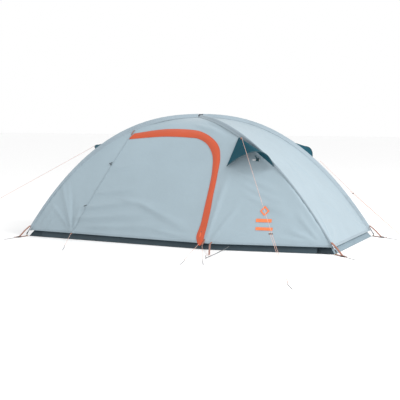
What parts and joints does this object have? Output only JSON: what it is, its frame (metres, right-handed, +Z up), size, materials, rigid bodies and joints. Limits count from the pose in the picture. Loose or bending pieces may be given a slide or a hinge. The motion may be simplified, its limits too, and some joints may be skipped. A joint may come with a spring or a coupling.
{
  "type": "trekking tent",
  "caption": "Low trekking tent with crossed poles in sleeves, a curved-zip side door, vent hoods, inner tent, bathtub floor and guylines.",
  "frame": {"origin": "on the ground, under the point where the two poles cross", "axes": "+X along the tent towards the vented end, -Y towards the door, +Z up"},
  "size_m": [3.8955, 2.6901, 0.9809],
  "materials": {
    "fly_cloth": "coated ripstop polyester",
    "sleeve_cloth": "coated polyester, doubled",
    "flap_cloth": "coated polyester, orange",
    "hood_cloth": "coated polyester, teal",
    "floor_cloth": "heavy coated polyester",
    "inner_cloth": "thin breathable polyester",
    "mesh": "insect mesh",
    "pole_alloy": "anodised",
    "ferrule_alloy": "drawn",
    "elastic": "braided elastic",
    "tip_plastic": "moulded",
    "zip_tape": "coil zip and tape",
    "slider_metal": "black nickel",
    "pull_plastic": "moulded",
    "brim_stiffener": "sewn over",
    "prop_plastic": "moulded",
    "toggle_plastic": "moulded",
    "webbing": "woven webbing",
    "buckle_plastic": "moulded acetal",
    "grommet_brass": "pressed",
    "peg_steel": "bent wire",
    "guyline": "braided cord",
    "black_cord": "braided cord",
    "runner_plastic": "moulded"
  },
  "bodies": {
    "tent": {"ground_sheet": "floor_cloth", "floor_wall_front": "floor_cloth", "floor_wall_back": "floor_cloth", "floor_wall_left": "floor_cloth", "floor_wall_right": "floor_cloth", "pole_a_tubes": "pole_alloy", "pole_b_tubes": "pole_alloy", "pole_ferrules": "ferrule_alloy", "pole_shock_cords": "elastic", "pole_tips": "tip_plastic", "pole_sleeves": "sleeve_cloth", "crossing_tie": "sleeve_cloth", "fly_crown": "fly_cloth", "fly_front_left": "fly_cloth", "fly_front_top": "fly_cloth", "fly_front_right": "fly_cloth", "fly_back": "fly_cloth", "fly_end_left": "fly_cloth", "fly_end_right": "fly_cloth", "zip_tape": "zip_tape", "vent_meshes": "mesh", "vent_hood_front": "hood_cloth", "vent_hood_back": "hood_cloth", "vent_hood_end": "hood_cloth", "vent_brims": "brim_stiffener", "vent_prop_bases": "prop_plastic", "door_toggles": "toggle_plastic", "inner_front": "inner_cloth", "inner_back": "inner_cloth", "inner_ends": "inner_cloth", "inner_crown": "inner_cloth", "corner_straps": "webbing", "corner_grommets": "grommet_brass", "corner_buckles": "buckle_plastic", "corner_pegs": "peg_steel", "guyline_front": "guyline", "guyline_left": "guyline", "guyline_right": "guyline", "door_cord": "guyline", "fly_cord": "guyline", "seam_cord": "guyline", "floor_cord": "black_cord", "guy_peg_front": "peg_steel", "guy_peg_left": "peg_steel", "guy_peg_right": "peg_steel", "door_peg": "peg_steel", "fly_peg": "peg_steel", "seam_peg": "peg_steel", "floor_peg": "peg_steel"},
    "door": {"fly_door": "fly_cloth", "zip_flap": "flap_cloth"},
    "zip_slider": {"zip_slider": "slider_metal"},
    "zip_pull": {"zip_pull": "pull_plastic"},
    "inner_door": {"inner_door": "mesh"},
    "vent_prop_front": {"vent_prop_front": "prop_plastic"},
    "vent_prop_back": {"vent_prop_back": "prop_plastic"},
    "vent_prop_end": {"vent_prop_end": "prop_plastic"},
    "runner_front": {"runner_front": "runner_plastic"},
    "runner_left": {"runner_left": "runner_plastic"},
    "runner_right": {"runner_right": "runner_plastic"}
  },
  "joints": [
    {"name": "door_swing", "type": "hinge", "parent": "tent", "child": "door", "pos_m": [-0.848, -0.61476, 0.05], "axis": [0.4667, 0.2419, 0.8507], "range_deg": [-75, 0]},
    {"name": "zip_slide", "type": "slide", "parent": "door", "child": "zip_slider", "axis": [0.047, 0.3807, 0.9235], "range_m": [0, 0.2]},
    {"name": "zip_pull_swing", "type": "hinge", "parent": "zip_slider", "child": "zip_pull", "pos_m": [0.29544, -0.66379, 0.11766], "axis": [0.0193, -0.9247, 0.3802], "range_deg": [-20, 35]},
    {"name": "inner_door_swing", "type": "hinge", "parent": "tent", "child": "inner_door", "pos_m": [-0.38, -0.35203, 0.122], "axis": [0, 0, 1], "range_deg": [0, 60]},
    {"name": "prop_front_fold", "type": "hinge", "parent": "tent", "child": "vent_prop_front", "pos_m": [0.655, -0.45709, 0.655], "axis": [0.9903, 0.1305, -0.0483], "range_deg": [0, 70]},
    {"name": "prop_back_fold", "type": "hinge", "parent": "tent", "child": "vent_prop_back", "pos_m": [0.655, 0.45709, 0.655], "axis": [0.9903, -0.1305, -0.0483], "range_deg": [-70, 0]},
    {"name": "prop_end_fold", "type": "hinge", "parent": "tent", "child": "vent_prop_end", "pos_m": [-0.73324, 0, 0.67], "axis": [0, 1, 0], "range_deg": [-40, 0]},
    {"name": "runner_front_slide", "type": "slide", "parent": "tent", "child": "runner_front", "axis": [0.4738, -0.7693, -0.4286], "range_m": [0, 0.2]},
    {"name": "runner_left_slide", "type": "slide", "parent": "tent", "child": "runner_left", "axis": [-0.8693, -0.2162, -0.4444], "range_m": [0, 0.15]},
    {"name": "runner_right_slide", "type": "slide", "parent": "tent", "child": "runner_right", "axis": [0.7787, -0.0232, -0.627], "range_m": [0, 0.2]}
  ]
}
